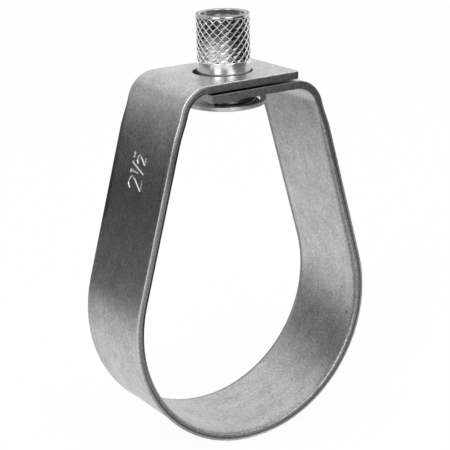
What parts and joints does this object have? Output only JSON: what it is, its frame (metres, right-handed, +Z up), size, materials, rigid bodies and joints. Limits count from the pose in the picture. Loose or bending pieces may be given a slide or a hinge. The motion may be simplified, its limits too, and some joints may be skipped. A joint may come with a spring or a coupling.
{
  "type": "swivel ring hanger",
  "caption": "Pear-shaped strip-steel band that carries a pipe and swivels on a knurled, flanged nut screwed to a threaded rod.",
  "frame": {"origin": "on the nut's axis, at the nut's top face, where the rod enters", "axes": "+Z up along the rod and the nut, +Y along the pipe, +X across the pipe towards the leg that carries the lower strap"},
  "size_m": [0.0816, 0.0304, 0.1293],
  "materials": {
    "band_zinc": "zinc coating, satin, fine rolling streaks",
    "nut_zinc": "bright zinc plating"
  },
  "bodies": {
    "nut": {"swivel_nut": "nut_zinc"},
    "band": {"ring_band": "band_zinc"}
  },
  "joints": [
    {"name": "band_swivel", "type": "hinge", "parent": "nut", "child": "band", "pos_m": [0, 0, 0], "axis": [0, 0, 1], "continuous": true}
  ]
}
